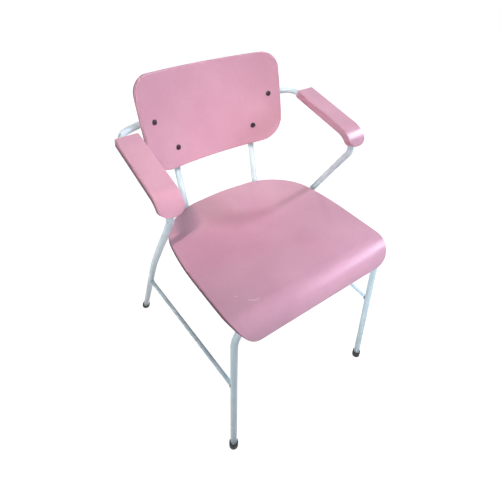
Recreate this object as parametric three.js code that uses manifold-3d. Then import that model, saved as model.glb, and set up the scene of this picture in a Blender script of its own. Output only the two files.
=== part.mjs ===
// Armchair: bent steel tube frame with a seat, a back and two arm pads of painted moulded plywood.
// Millimetres, +Z up. The sitter faces -Y. The origin is the middle of the chair's base, on the floor.
import * as THREE from 'three';
import { mergeVertices } from 'three/addons/utils/BufferGeometryUtils.js';
import Module from 'manifold-3d';

const wasm = await Module();
wasm.setup();

// Driving dimensions. Places in Y are measured from the line of the front feet, towards the back.
// Heights and widths of the other pieces are taken from the seat's.
const degree = Math.PI / 180;
const gap = 0.3;
const cutOverrun = 20;

const tube = { diameter: 15, wall: 1.5 };

const seat = {
  height: 446.1, halfWidth: 212, straightRun: 355, bendStartY: 21, bendRadius: 48, bendAngle: 89 * degree,
  thickness: 10, rearDrop: 7.6, rearNarrowing: 37, frontNarrowing: 3, widestFromRear: 232,
  rearCorner: 110, frontCornerLength: 88, frontCornerWidth: 50, rearBow: 4,
};

const hoop = { topInset: 12.5, legSplay: 9.5, topSetback: 6, bendRadius: 54 };

const back = {
  aboveSeat: 102.9, behindSeat: 10.9, height: 225, halfWidth: 181.5, thickness: 10,
  radius: 500, lean: 13.2 * degree, topWidening: 7.1, sideBow: 3, topCorner: 42, bottomCorner: 56,
  topBow: 0.4, bottomBow: 1.5,
};

const side = {
  armOutset: 23, kneeInset: 7, footInset: 22.5, footBehindSeat: 130, kneeBeforeRear: 61, kneeBelowSeat: 94.1,
  kneeRadius: 1200, armFrontBehindBend: 125, armFrontRise: 169.9, armFrontRadius: 31.4, armRearRadius: 32,
  railRise: 220.9, railEndShare: 0.8426, railJointShare: 0.555,
};

const spine = { halfSpan: 105, topSpread: 6, bendRadius: 26, frontOverhang: 14 };
const rearBar = { beforeRear: 76, halfLength: 150 };
const stretcher = { diameter: 9.5, rearHeight: 239, frontHeight: 237 };

const pad = {
  thickness: 19, width: 50, straight: 162, bendAngle: 60 * degree, inset: 2.5, frontCorner: 21, rearCorner: 4,
};

const cap = { diameter: 21, height: 18, sole: 5 };

const bolt = {
  diameter: 6, headDiameter: 13, headHeight: 3.6, halfSpanUpper: 156.5, halfSpanLower: 106, lowerUp: 48,
};

const spacer = { length: 9.5, diameter: 16 };
const nut = { diameter: 12, height: 9, engagement: 5 };

const seatScrew = {
  diameter: 4.5, headDiameter: 9, headHeight: 2.5, bite: 6.5, frontHalfSpan: 140, rearHalfSpan: 135,
};

const armScrew = { diameter: 4.5, headDiameter: 9, headHeight: 2.5, bite: 12, placeShares: [0.22, 0.62] };

// How finely round shapes are faceted.
const facets = {
  bendStep: 15 * degree, tubeSides: 16, boreSides: 8, hardwareSides: 12, domeSteps: 3, railEndSteps: 2,
  railSteps: 4, seatColumns: 6, seatCorner: 8, seatStraight: 5, backColumns: 16, backCorner: 5,
  backStraight: 3, padColumns: 4, padCorner: 4, padStraight: 2, padBend: 6,
};

// Places that several pieces share.
const seatRearY = seat.bendStartY + seat.straightRun;
const seatRearZ = seat.height - seat.rearDrop;
const backBottomY = seatRearY + back.behindSeat;
const backBottomZ = seat.height + back.aboveSeat;
const armHalfSpan = seat.halfWidth + side.armOutset;
const hoopHalfSpan = seat.halfWidth - hoop.topInset;
const railZ = seat.height + side.railRise;
const rearBarY = seatRearY - rearBar.beforeRear;

const frameWhite = new THREE.MeshStandardMaterial({ color: '#d3dbe0', roughness: 0.42, metalness: 0.1 });
const pinkPaint = new THREE.MeshStandardMaterial({ color: '#d796ac', roughness: 0.48, metalness: 0 });
const blackRubber = new THREE.MeshStandardMaterial({ color: '#23282a', roughness: 0.8, metalness: 0 });
const darkSteel = new THREE.MeshStandardMaterial({ color: '#3b3440', roughness: 0.35, metalness: 0.8 });
const zincSteel = new THREE.MeshStandardMaterial({ color: '#a9adb0', roughness: 0.35, metalness: 0.9 });

const chair = new THREE.Group();
const vector = (x, y, z) => new THREE.Vector3(x, y, z);
const tubeRadius = tube.diameter / 2;

function addPart(name, geometry, material) {
  const mesh = new THREE.Mesh(geometry, material);
  mesh.name = name;
  chair.add(mesh);
  return mesh;
}

// Solids: a closed mesh as a manifold solid, and back.
function toSolid(geometry) {
  const bare = geometry.clone();
  bare.deleteAttribute('normal');
  bare.deleteAttribute('uv');
  const welded = mergeVertices(bare);
  const vertProperties = Float32Array.from(welded.getAttribute('position').array);
  const triVerts = Uint32Array.from(welded.getIndex().array);
  return new wasm.Manifold(new wasm.Mesh({ numProp: 3, vertProperties, triVerts }));
}

function toGeometry(solid) {
  const mesh = solid.getMesh();
  const geometry = new THREE.BufferGeometry();
  geometry.setAttribute('position', new THREE.BufferAttribute(Float32Array.from(mesh.vertProperties), 3));
  geometry.setIndex(new THREE.BufferAttribute(Uint32Array.from(mesh.triVerts), 1));
  geometry.computeVertexNormals();
  return geometry;
}

// A path that the tube follows: its stations are the ends of straight runs and steps round each bend.
class StationPath extends THREE.Curve {
  constructor(stations) {
    super();
    this.stations = stations;
  }

  getPoint(share, target = new THREE.Vector3()) {
    const last = this.stations.length - 1;
    const index = Math.min(Math.floor(share * last), last - 1);
    const from = this.stations[index].point;
    const to = this.stations[index + 1].point;
    return target.copy(from).lerp(to, share * last - index);
  }

  getPointAt(share, target) {
    return this.getPoint(share, target);
  }

  getSpacedPoints() {
    return this.stations.map((station) => station.point.clone());
  }

  getTangentAt(share, target = new THREE.Vector3()) {
    const index = Math.round(share * (this.stations.length - 1));
    return target.copy(this.stations[index].tangent);
  }
}

// The round bend that joins two straight runs meeting at a corner.
function bendAt(before, corner, after, radius) {
  const inward = corner.clone().sub(before).normalize();
  const outward = after.clone().sub(corner).normalize();
  const angle = inward.angleTo(outward);
  const reach = radius * Math.tan(angle / 2);
  const axis = inward.clone().cross(outward).normalize();
  const start = corner.clone().addScaledVector(inward, -reach);
  const centre = start.clone().addScaledVector(axis.clone().cross(inward), radius);
  return { inward, angle, axis, start, centre };
}

function bendStations(bend) {
  const steps = Math.max(2, Math.ceil(bend.angle / facets.bendStep));
  return Array.from({ length: steps + 1 }, (_, index) => {
    const turn = (bend.angle * index) / steps;
    const arm = bend.start.clone().sub(bend.centre).applyAxisAngle(bend.axis, turn);
    const tangent = bend.inward.clone().applyAxisAngle(bend.axis, turn);
    return { point: bend.centre.clone().add(arm), tangent };
  });
}

// Stations through a list of corners, each with its bend radius; the first and last corners are the ends.
function runStations(corners) {
  const last = corners.length - 1;
  const direction = (index) => corners[index + 1].at.clone().sub(corners[index].at).normalize();
  const stations = [{ point: corners[0].at, tangent: direction(0) }];
  for (let index = 1; index < last; index += 1) {
    const { at, radius } = corners[index];
    stations.push(...bendStations(bendAt(corners[index - 1].at, at, corners[index + 1].at, radius)));
  }
  stations.push({ point: corners[last].at, tangent: direction(last - 1) });
  return stations;
}

const ring = (diameter, sides) => Array.from({ length: sides }, (_, index) => {
  const angle = (2 * Math.PI * index) / sides;
  return new THREE.Vector2((Math.cos(angle) * diameter) / 2, (Math.sin(angle) * diameter) / 2);
});

function roundBar(stations, diameter, sides, bore = 0) {
  const shape = new THREE.Shape(ring(diameter, sides));
  if (bore > 0) {
    shape.holes.push(new THREE.Path(ring(bore, facets.boreSides)));
  }
  return new THREE.ExtrudeGeometry(shape, { steps: stations.length - 1, extrudePath: new StationPath(stations) });
}

const steelTube = (stations) => (
  toSolid(roundBar(stations, tube.diameter, facets.tubeSides, tube.diameter - 2 * tube.wall))
);
const tubeEnvelope = (stations) => toSolid(roundBar(stations, tube.diameter + 2 * gap, facets.tubeSides));

// A plain round solid from one point to another.
function peg(from, to, diameter) {
  const direction = to.clone().sub(from).normalize();
  const stations = [{ point: from, tangent: direction }, { point: to, tangent: direction }];
  return toSolid(roundBar(stations, diameter, facets.hardwareSides));
}

const along = (origin, direction, distance) => origin.clone().addScaledVector(direction, distance);

// A turned part: its profile of [radius, distance] pairs is laid along a direction from an origin.
function turned(profile, origin, direction, sides = facets.hardwareSides) {
  const points = profile.map(([radius, distance]) => new THREE.Vector2(radius, distance));
  const geometry = new THREE.LatheGeometry(points, sides);
  const turn = new THREE.Quaternion().setFromUnitVectors(vector(0, 1, 0), direction);
  geometry.applyQuaternion(turn);
  geometry.translate(origin.x, origin.y, origin.z);
  return toSolid(geometry);
}

// A bent sheet of plywood. Rows run from its start edge to its end edge, columns from side to side.
// place(across, forth, depth) lays a point of the flat blank on the bent sheet. Seen from outside, the face at
// depth 0 has forth running up and across running to the right; depth grows towards the other face.
function bentSheet({ rows, columns, halfWidth, bow, place, thickness }) {
  const points = [];
  for (const depth of [0, thickness]) {
    for (const row of rows) {
      for (let column = 0; column <= columns; column += 1) {
        const share = (2 * column) / columns - 1;
        points.push(place(halfWidth(row) * share, row + bow(row) * share * share, depth));
      }
    }
  }
  const stride = columns + 1;
  const face = rows.length * stride;
  const at = (layer, row, column) => layer * face + row * stride + column;
  const triangles = [];
  const quad = (a, b, c, d) => triangles.push(a, b, c, a, c, d);
  for (let row = 0; row < rows.length - 1; row += 1) {
    for (let column = 0; column < columns; column += 1) {
      quad(at(0, row, column), at(0, row, column + 1), at(0, row + 1, column + 1), at(0, row + 1, column));
      quad(at(1, row, column), at(1, row + 1, column), at(1, row + 1, column + 1), at(1, row, column + 1));
    }
    quad(at(0, row, 0), at(0, row + 1, 0), at(1, row + 1, 0), at(1, row, 0));
    quad(at(0, row, columns), at(1, row, columns), at(1, row + 1, columns), at(0, row + 1, columns));
  }
  for (let column = 0; column < columns; column += 1) {
    const end = rows.length - 1;
    quad(at(0, 0, column), at(1, 0, column), at(1, 0, column + 1), at(0, 0, column + 1));
    quad(at(0, end, column), at(0, end, column + 1), at(1, end, column + 1), at(1, end, column));
  }
  const geometry = new THREE.BufferGeometry();
  geometry.setAttribute('position', new THREE.Float32BufferAttribute(points.flatMap((p) => p.toArray()), 3));
  geometry.setIndex(triangles);
  return toSolid(geometry);
}

// How far a rounded corner draws the side in, at a distance from the edge that the corner meets.
const cornerInset = (distance, length, width = length) => (
  distance < length ? width * (1 - Math.sqrt(1 - (1 - distance / length) ** 2)) : 0
);

// Rows that step evenly round the corners at both ends. Each stretch between them has its end and its steps.
function sheetRows(length, startCorner, endCorner, cornerSteps, stretches) {
  const round = (radius) => Array.from({ length: cornerSteps + 1 }, (_, index) => (
    radius * (1 - Math.cos((index * 90 * degree) / cornerSteps))
  ));
  const rows = round(startCorner);
  for (const { end, steps } of stretches) {
    const start = rows[rows.length - 1];
    for (let step = 1; step <= steps; step += 1) {
      rows.push(start + ((end - start) * step) / steps);
    }
  }
  rows.pop();
  return [...rows, ...round(endCorner).map((value) => length - value).reverse()];
}

// Seat: a nearly flat sheet whose front rolls down over the front hoop.
const seatSlope = Math.atan2(seat.rearDrop, seat.straightRun);
const seatStraight = Math.hypot(seat.rearDrop, seat.straightRun);
const seatLength = seatStraight + seat.bendRadius * seat.bendAngle;
const seatForward = vector(0, -Math.cos(seatSlope), Math.sin(seatSlope));
const seatUp = vector(0, Math.sin(seatSlope), Math.cos(seatSlope));

function seatPoint(across, forward, depth) {
  const point = vector(-across, seatRearY, seatRearZ);
  point.addScaledVector(seatForward, Math.min(forward, seatStraight));
  const turn = Math.max(0, forward - seatStraight) / seat.bendRadius;
  const radius = seat.bendRadius - depth;
  point.addScaledVector(seatForward, radius * Math.sin(turn));
  return point.addScaledVector(seatUp, radius * Math.cos(turn) - seat.bendRadius);
}

function seatHalfWidth(forward) {
  const rearShare = Math.max(0, 1 - forward / seat.widestFromRear);
  const frontShare = Math.max(0, (forward - seat.widestFromRear) / (seatLength - seat.widestFromRear));
  const sides = seat.halfWidth - seat.rearNarrowing * rearShare ** 2 - seat.frontNarrowing * frontShare ** 2;
  const frontInset = cornerInset(seatLength - forward, seat.frontCornerLength, seat.frontCornerWidth);
  return sides - cornerInset(forward, seat.rearCorner) - frontInset;
}

const seatRows = sheetRows(seatLength, seat.rearCorner, seat.frontCornerLength, facets.seatCorner, [
  { end: seatLength - seat.frontCornerLength, steps: facets.seatStraight },
]);
const seatSheet = bentSheet({
  rows: seatRows, columns: facets.seatColumns, halfWidth: seatHalfWidth, place: seatPoint,
  thickness: seat.thickness,
  bow: (row) => seat.rearBow * Math.max(0, 1 - row / seat.widestFromRear),
});

// Height of the seat's underside above the floor at a place behind the bend.
const seatUnderside = (y) => (
  seatRearZ + (seatRearY - y) * Math.tan(seatSlope) - seat.thickness / Math.cos(seatSlope)
);

// Back: a sheet bent round an axis in front of it, leaning backwards.
const backUp = vector(0, Math.sin(back.lean), Math.cos(back.lean));
const backRearward = vector(0, Math.cos(back.lean), -Math.sin(back.lean));

function backPoint(across, up, depth) {
  const angle = across / back.radius;
  const radius = back.radius + depth;
  return vector(radius * Math.sin(angle), backBottomY, backBottomZ)
    .addScaledVector(backUp, up)
    .addScaledVector(backRearward, radius * Math.cos(angle) - back.radius);
}

const backNormal = (across) => backPoint(across, 0, 1).sub(backPoint(across, 0, 0));

function backHalfWidth(up) {
  const share = up / back.height;
  const sides = back.halfWidth + back.topWidening * share + back.sideBow * 4 * share * (1 - share);
  return sides - cornerInset(up, back.bottomCorner) - cornerInset(back.height - up, back.topCorner);
}

const backRows = sheetRows(back.height, back.bottomCorner, back.topCorner, facets.backCorner, [
  { end: back.height - back.topCorner, steps: facets.backStraight },
]);
const backSheet = bentSheet({
  rows: backRows, columns: facets.backColumns, halfWidth: backHalfWidth,
  bow: (row) => back.bottomBow * (1 - row / back.height) - back.topBow * (row / back.height),
  place: backPoint, thickness: back.thickness,
});

// The rail behind the back: a level arc that keeps the spacer's length behind the leaning sheet.
const axisDepth = back.thickness + spacer.length + tubeRadius;
const railRadius = back.radius + axisDepth;
const railRearY = backBottomY + (railZ - backBottomZ) * Math.tan(back.lean) + axisDepth / Math.cos(back.lean);
const railEndAngle = Math.asin((side.railEndShare * armHalfSpan) / railRadius);
const railJointAngle = railEndAngle * side.railJointShare;

function railStation(angle, sign) {
  const setForward = (railRadius * (1 - Math.cos(angle))) / Math.cos(back.lean);
  return {
    point: vector(sign * railRadius * Math.sin(angle), railRearY - setForward, railZ),
    tangent: vector(-sign * Math.cos(angle), Math.sin(angle) / Math.cos(back.lean), 0).normalize(),
  };
}

// Side tube: rear foot, knee, arm front, arm rear and then its share of the rail.
function sideCorners(sign) {
  const railEnd = railStation(railEndAngle, sign);
  const toCorner = (armHalfSpan - Math.abs(railEnd.point.x)) / Math.abs(railEnd.tangent.x);
  const armRear = along(railEnd.point, railEnd.tangent, -toCorner);
  return {
    foot: vector(sign * (armHalfSpan - side.footInset), seatRearY + side.footBehindSeat, 0),
    knee: vector(
      sign * (armHalfSpan - side.kneeInset), seatRearY - side.kneeBeforeRear, seat.height - side.kneeBelowSeat,
    ),
    armFront: vector(
      sign * armHalfSpan, seat.bendStartY + side.armFrontBehindBend, seat.height + side.armFrontRise,
    ),
    armRear, railEnd,
  };
}

function legEnd(foot, above) {
  const direction = above.clone().sub(foot).normalize();
  const tilt = Math.hypot(direction.x, direction.y);
  return along(foot, direction, (cap.sole + tubeRadius * tilt) / direction.z);
}

function sideStations(sign) {
  const { foot, knee, armFront, armRear, railEnd } = sideCorners(sign);
  const upToRail = runStations([
    { at: legEnd(foot, knee) }, { at: knee, radius: side.kneeRadius },
    { at: armFront, radius: side.armFrontRadius }, { at: armRear, radius: side.armRearRadius },
    { at: railEnd.point },
  ]);
  for (let step = 1; step <= facets.railEndSteps; step += 1) {
    const share = step / facets.railEndSteps;
    const angle = railEndAngle + (railJointAngle - railEndAngle) * share;
    upToRail.push(railStation(angle, sign));
  }
  return upToRail;
}

function railStations() {
  const half = railJointAngle - gap / railRadius / 2;
  return Array.from({ length: facets.railSteps + 1 }, (_, index) => {
    const angle = half * (1 - (2 * index) / facets.railSteps);
    return railStation(angle, 1);
  });
}

// Front hoop: two legs and the bar under the seat's bend. The bar's top meets the seat's underside.
const hoopDrop = hoop.topSetback - seat.bendStartY;
const underBend = seat.bendRadius - seat.thickness - gap - tubeRadius;
const hoopZ = seat.height - seat.bendRadius + Math.sqrt(underBend ** 2 - hoopDrop ** 2);
const hoopCorner = (sign) => vector(sign * hoopHalfSpan, hoop.topSetback, hoopZ);
const hoopFoot = (sign) => vector(sign * (hoopHalfSpan + hoop.legSplay), 0, 0);

function hoopStations() {
  return runStations([
    { at: legEnd(hoopFoot(-1), hoopCorner(-1)) }, { at: hoopCorner(-1), radius: hoop.bendRadius },
    { at: hoopCorner(1), radius: hoop.bendRadius }, { at: legEnd(hoopFoot(1), hoopCorner(1)) },
  ]);
}

// Rear seat bar and spines: the spines run under both bars and turn up behind the seat.
const rearBarZ = seatUnderside(rearBarY) - gap - tubeRadius;
const barDrop = tube.diameter + gap;
const spineRise = (hoopZ - rearBarZ) / (rearBarY - hoop.topSetback);

function spineCorners(sign) {
  const topAngle = Math.asin((spine.halfSpan + spine.topSpread) / railRadius);
  const top = railStation(topAngle, sign).point;
  const frontY = hoop.topSetback - spine.frontOverhang;
  const heightAt = (y) => hoopZ - barDrop - spineRise * (y - hoop.topSetback);
  const lean = Math.tan(back.lean);
  const cornerY = (top.y - lean * (top.z - heightAt(0))) / (1 + lean * spineRise);
  return {
    front: vector(sign * spine.halfSpan, frontY, heightAt(frontY)),
    corner: vector(sign * spine.halfSpan, cornerY, heightAt(cornerY)),
    top,
  };
}

function spineSolid(sign) {
  const { front, corner, top } = spineCorners(sign);
  const stations = runStations([{ at: front }, { at: corner, radius: spine.bendRadius }, { at: top }]);
  return cutAll(steelTube(stations), [railEnvelope, ...sideEnvelopes]);
}

// Bolts through the back, the spacers and the tubes, each with a domed nut.
function boltPlaces() {
  const places = [];
  for (const [label, sign] of [['left', -1], ['right', 1]]) {
    const angle = bolt.halfSpanUpper / back.radius;
    const sag = (back.radius + axisDepth) * Math.cos(angle) - back.radius;
    const upperUp = (railZ - backBottomZ + sag * Math.sin(back.lean)) / Math.cos(back.lean);
    places.push({ name: `upper_${label}`, across: sign * bolt.halfSpanUpper, up: upperUp });
    places.push({ name: `lower_${label}`, across: sign * bolt.halfSpanLower, up: bolt.lowerUp });
  }
  return places.map(({ name, across, up }) => (
    { name, origin: backPoint(across, up, 0), direction: backNormal(across).normalize() }
  ));
}

function domeProfile(radius, height, from, sign) {
  return Array.from({ length: facets.domeSteps + 1 }, (_, index) => {
    const angle = (index * 90 * degree) / facets.domeSteps;
    return [radius * Math.sin(angle), from - sign * height * Math.cos(angle)];
  });
}

function boltSolid({ origin, direction }) {
  const tip = back.thickness + spacer.length + tube.diameter + nut.engagement;
  const shank = bolt.diameter / 2;
  const head = domeProfile(bolt.headDiameter / 2, bolt.headHeight, -gap, 1);
  return turned([...head, [shank, -gap], [shank, tip], [0, tip]], origin, direction);
}

function nutSolid({ origin, direction }) {
  const seatAt = back.thickness + spacer.length + tube.diameter + gap;
  const bore = bolt.diameter / 2 + gap;
  const boreEnd = seatAt + nut.engagement + gap;
  const dome = domeProfile(nut.diameter / 2, nut.height, seatAt, -1);
  return turned([[0, boreEnd], [bore, boreEnd], [bore, seatAt], ...dome.reverse()], origin, direction);
}

function spacerSolid({ origin, direction }) {
  const bore = bolt.diameter / 2 + gap;
  const start = back.thickness + gap;
  const end = back.thickness + spacer.length + tubeRadius;
  const outer = spacer.diameter / 2;
  return turned([[bore, start], [outer, start], [outer, end], [bore, end], [bore, start]], origin, direction);
}

const holeAlong = ({ origin, direction }, from, to, diameter) => (
  peg(along(origin, direction, from), along(origin, direction, to), diameter + 2 * gap)
);

const cutAll = (solid, tools) => tools.reduce((rest, tool) => rest.subtract(tool), solid);

// Screws driven upwards through a tube into the wood above it. The origin is on the tube's axis.
function screwSolid({ origin, direction }, screw, bite) {
  const shank = screw.diameter / 2;
  const seatAt = -tubeRadius - gap;
  const head = domeProfile(screw.headDiameter / 2, screw.headHeight, seatAt, 1);
  return turned([...head, [shank, seatAt], [shank, tubeRadius + bite], [0, tubeRadius + bite]], origin, direction);
}

const screwHole = (place, screw) => holeAlong(place, -cutOverrun, tubeRadius + screw.bite + gap, screw.diameter);

const seatScrewPlaces = [['left', -1], ['right', 1]].flatMap(([label, sign]) => [
  { name: `front_${label}`, bar: 'front', origin: vector(sign * seatScrew.frontHalfSpan, hoop.topSetback, hoopZ) },
  { name: `rear_${label}`, bar: 'rear', origin: vector(sign * seatScrew.rearHalfSpan, rearBarY, rearBarZ) },
]).map((place) => ({ ...place, direction: vector(0, 0, 1) }));

// Arm pads follow the tube's arm and its front bend.
function padFrame(sign) {
  const { knee, armFront, armRear } = sideCorners(sign);
  const bend = bendAt(armRear, armFront, knee, side.armFrontRadius);
  const forward = bend.inward;
  const rear = along(bend.start, forward, -pad.straight);
  const up = bend.start.clone().sub(bend.centre).normalize();
  return { forward, up, rear };
}

function padSolid(sign) {
  const { forward, up, rear } = padFrame(sign);
  const toLeft = forward.clone().cross(up);
  const origin = along(rear, toLeft, sign * pad.inset);
  const underRadius = side.armFrontRadius + tubeRadius + gap;
  const topRadius = underRadius + pad.thickness;
  const length = pad.straight + topRadius * pad.bendAngle;
  const place = (across, distance, depth) => {
    const turn = Math.max(0, distance - pad.straight) / topRadius;
    const radius = topRadius - depth;
    const reach = Math.min(distance, pad.straight) + radius * Math.sin(turn);
    const height = radius * Math.cos(turn) - side.armFrontRadius;
    return along(along(along(origin, toLeft, across), forward, reach), up, height);
  };
  const rows = sheetRows(length, pad.rearCorner, pad.frontCorner, facets.padCorner, [
    { end: pad.straight, steps: facets.padStraight }, { end: length - pad.frontCorner, steps: facets.padBend },
  ]);
  return bentSheet({
    rows, columns: facets.padColumns, bow: () => 0, place, thickness: pad.thickness,
    halfWidth: (row) => (
      pad.width / 2 - cornerInset(row, pad.rearCorner) - cornerInset(length - row, pad.frontCorner)
    ),
  });
}

function armScrewPlaces(sign, label) {
  const { forward, up, rear } = padFrame(sign);
  return armScrew.placeShares.map((share, index) => (
    { name: `${label}_${index + 1}`, origin: along(rear, forward, share * pad.straight), direction: up }
  ));
}

// Rubber caps on the four feet, cut level with the floor.
function capSolid(foot, above) {
  const direction = above.clone().sub(foot).normalize();
  const end = legEnd(foot, above);
  const outer = cap.diameter / 2;
  const bore = tubeRadius + gap;
  const rim = cap.height / direction.z - foot.distanceTo(end);
  const below = -cap.sole - cutOverrun;
  const profile = [[0, below], [outer, below], [outer, rim], [bore, rim], [bore, -gap], [0, -gap]];
  const floor = new THREE.BoxGeometry(4 * cutOverrun, 4 * cutOverrun, 2 * cutOverrun);
  floor.translate(foot.x, foot.y, -cutOverrun);
  return turned(profile, end, direction, facets.tubeSides).subtract(toSolid(floor));
}

// Stretcher: a thin rod from the rear leg to the front leg, shaped to both tubes.
function stretcherSolid(sign, sideEnvelope) {
  const { foot, knee } = sideCorners(sign);
  const onLine = (from, to, z) => from.clone().lerp(to, (z - from.z) / (to.z - from.z));
  const rear = onLine(foot, knee, stretcher.rearHeight);
  const front = onLine(hoopFoot(sign), hoopCorner(sign), stretcher.frontHeight);
  return peg(rear, front, stretcher.diameter).subtract(sideEnvelope).subtract(hoopEnvelope);
}

const bolts = boltPlaces();
const railEnvelope = tubeEnvelope(railStations());
const hoopEnvelope = tubeEnvelope(hoopStations());
const sideEnvelopes = [-1, 1].map((sign) => tubeEnvelope(sideStations(sign)));
const boltHoles = bolts.map((place) => holeAlong(place, -cutOverrun, back.thickness + 2 * cutOverrun, bolt.diameter));
const seatScrewHoles = seatScrewPlaces.map((place) => screwHole(place, seatScrew));

addPart('seat_panel', toGeometry(cutAll(seatSheet, seatScrewHoles)), pinkPaint);
addPart('backrest_panel', toGeometry(cutAll(backSheet, boltHoles)), pinkPaint);
addPart('front_leg_hoop', toGeometry(cutAll(steelTube(hoopStations()), seatScrewHoles)), frameWhite);
addPart('back_rail', toGeometry(steelTube(railStations())), frameWhite);

const barEnd = (sign) => vector(sign * rearBar.halfLength, rearBarY, rearBarZ);
const barStations = runStations([{ at: barEnd(-1) }, { at: barEnd(1) }]);
addPart('rear_seat_bar', toGeometry(cutAll(steelTube(barStations), seatScrewHoles)), frameWhite);

[['left', -1], ['right', 1]].forEach(([label, sign], index) => {
  const armScrews = armScrewPlaces(sign, label);
  const armHoles = armScrews.map((place) => screwHole(place, armScrew));
  const tubeHoles = [...boltHoles, ...armHoles];
  const { foot, knee } = sideCorners(sign);
  addPart(`side_tube_${label}`, toGeometry(cutAll(steelTube(sideStations(sign)), tubeHoles)), frameWhite);
  addPart(`spine_${label}`, toGeometry(cutAll(spineSolid(sign), boltHoles)), frameWhite);
  addPart(`stretcher_${label}`, toGeometry(stretcherSolid(sign, sideEnvelopes[index])), frameWhite);
  addPart(`arm_pad_${label}`, toGeometry(cutAll(padSolid(sign), armHoles)), pinkPaint);
  addPart(`foot_cap_front_${label}`, toGeometry(capSolid(hoopFoot(sign), hoopCorner(sign))), blackRubber);
  addPart(`foot_cap_rear_${label}`, toGeometry(capSolid(foot, knee)), blackRubber);
  armScrews.forEach((place) => {
    addPart(`arm_screw_${place.name}`, toGeometry(screwSolid(place, armScrew, armScrew.bite)), zincSteel);
  });
});

for (const place of bolts) {
  const spineTubes = [-1, 1].map((sign) => {
    const { corner, top } = spineCorners(sign);
    return peg(corner, top, tube.diameter + 2 * gap);
  });
  const tubes = [railEnvelope, ...sideEnvelopes, ...spineTubes];
  addPart(`back_bolt_${place.name}`, toGeometry(boltSolid(place)), darkSteel);
  addPart(`back_nut_${place.name}`, toGeometry(nutSolid(place)), darkSteel);
  addPart(`back_spacer_${place.name}`, toGeometry(cutAll(spacerSolid(place), tubes)), blackRubber);
}

for (const place of seatScrewPlaces) {
  addPart(`seat_screw_${place.name}`, toGeometry(screwSolid(place, seatScrew, seatScrew.bite)), zincSteel);
}

// The origin comes to the middle of the base.
const bounds = new THREE.Box3().setFromObject(chair);
chair.position.y = -(bounds.min.y + bounds.max.y) / 2;

export default chair;
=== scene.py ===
import math

import bmesh
import bpy
from mathutils import Matrix, Vector


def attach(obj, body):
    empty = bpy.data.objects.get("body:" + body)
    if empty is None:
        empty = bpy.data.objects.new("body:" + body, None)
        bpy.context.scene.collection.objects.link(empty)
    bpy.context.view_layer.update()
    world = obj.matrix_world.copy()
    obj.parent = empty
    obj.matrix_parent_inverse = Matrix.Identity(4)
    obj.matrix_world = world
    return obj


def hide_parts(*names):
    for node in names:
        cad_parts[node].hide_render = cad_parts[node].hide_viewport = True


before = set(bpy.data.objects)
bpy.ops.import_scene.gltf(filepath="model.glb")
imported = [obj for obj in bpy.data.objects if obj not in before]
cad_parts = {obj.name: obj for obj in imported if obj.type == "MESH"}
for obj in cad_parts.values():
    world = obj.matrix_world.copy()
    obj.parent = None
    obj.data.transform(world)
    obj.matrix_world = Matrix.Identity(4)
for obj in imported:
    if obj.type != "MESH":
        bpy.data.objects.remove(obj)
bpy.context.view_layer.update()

# ---- Sizes. Lengths are written in millimetres times MM, because Blender works in metres. ----
MM = 0.001
FRONT_LINE = -244.965 * MM  # the line of the front feet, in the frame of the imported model
BODY = "root"

TUBE = 15 * MM
TUBE_WALL = 1.5 * MM
TUBE_SIDES = 32
ROD = 9.5 * MM
ROD_WALL = 2 * MM
BEND_STEP = math.radians(6)
CLEARANCE = 0.3 * MM  # between a tube and what it touches

SHEET = 10 * MM
SHEET_ROUNDING = 2.6 * MM
SEAT_HEIGHT = 446.1 * MM
SEAT_BEND_Y = 21 * MM
SEAT_RUN = 355 * MM
SEAT_DROP = 7.6 * MM
SEAT_HALF = 212 * MM
SEAT_WIDEST = 232 * MM  # how far the widest place lies from the rear edge
SEAT_REAR_NARROWING = 37 * MM
SEAT_FRONT_NARROWING = 3 * MM
SEAT_REAR_CORNER = 110 * MM
SEAT_FRONT_CORNER = 88 * MM
SEAT_FRONT_CORNER_WIDTH = 50 * MM
SEAT_REAR_BOW = 4 * MM
SEAT_BEND_RADIUS = 48 * MM
SEAT_BEND_ANGLE = math.radians(89)
SEAT_REAR_Y = SEAT_BEND_Y + SEAT_RUN
SEAT_REAR_Z = SEAT_HEIGHT - SEAT_DROP

BACK_Y = SEAT_REAR_Y + 10.9 * MM
BACK_Z = SEAT_HEIGHT + 102.9 * MM
BACK_HEIGHT = 225 * MM
BACK_HALF = 181.5 * MM
BACK_TOP_WIDENING = 7.1 * MM
BACK_SIDE_BOW = 3 * MM
BACK_TOP_CORNER, BACK_BOTTOM_CORNER = 42 * MM, 56 * MM
BACK_TOP_BOW, BACK_BOTTOM_BOW = 0.4 * MM, 1.5 * MM
BACK_RADIUS = 500 * MM
BACK_REACH = 196 * MM  # how far its bending lines go to each side
BACK_LEAN = math.radians(13.2)

ARM_HALF = SEAT_HALF + 23 * MM
ARM_BEND_RADIUS = 31.4 * MM
ARM_REAR_RADIUS = 32 * MM
ARM_FRONT_Y = SEAT_BEND_Y + 125 * MM
ARM_FRONT_Z = SEAT_HEIGHT + 169.9 * MM
KNEE_HALF = ARM_HALF - 7 * MM
KNEE_Y = SEAT_REAR_Y - 61 * MM
KNEE_Z = SEAT_HEIGHT - 94.1 * MM
KNEE_RADIUS = 1200 * MM
REAR_FOOT_HALF = ARM_HALF - 22.5 * MM
REAR_FOOT_Y = SEAT_REAR_Y + 130 * MM
RAIL_Z = SEAT_HEIGHT + 220.9 * MM
RAIL_END_SHARE = 0.8426  # of the arm's distance from the middle
RAIL_JOINT_HALF = 111.3 * MM

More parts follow.
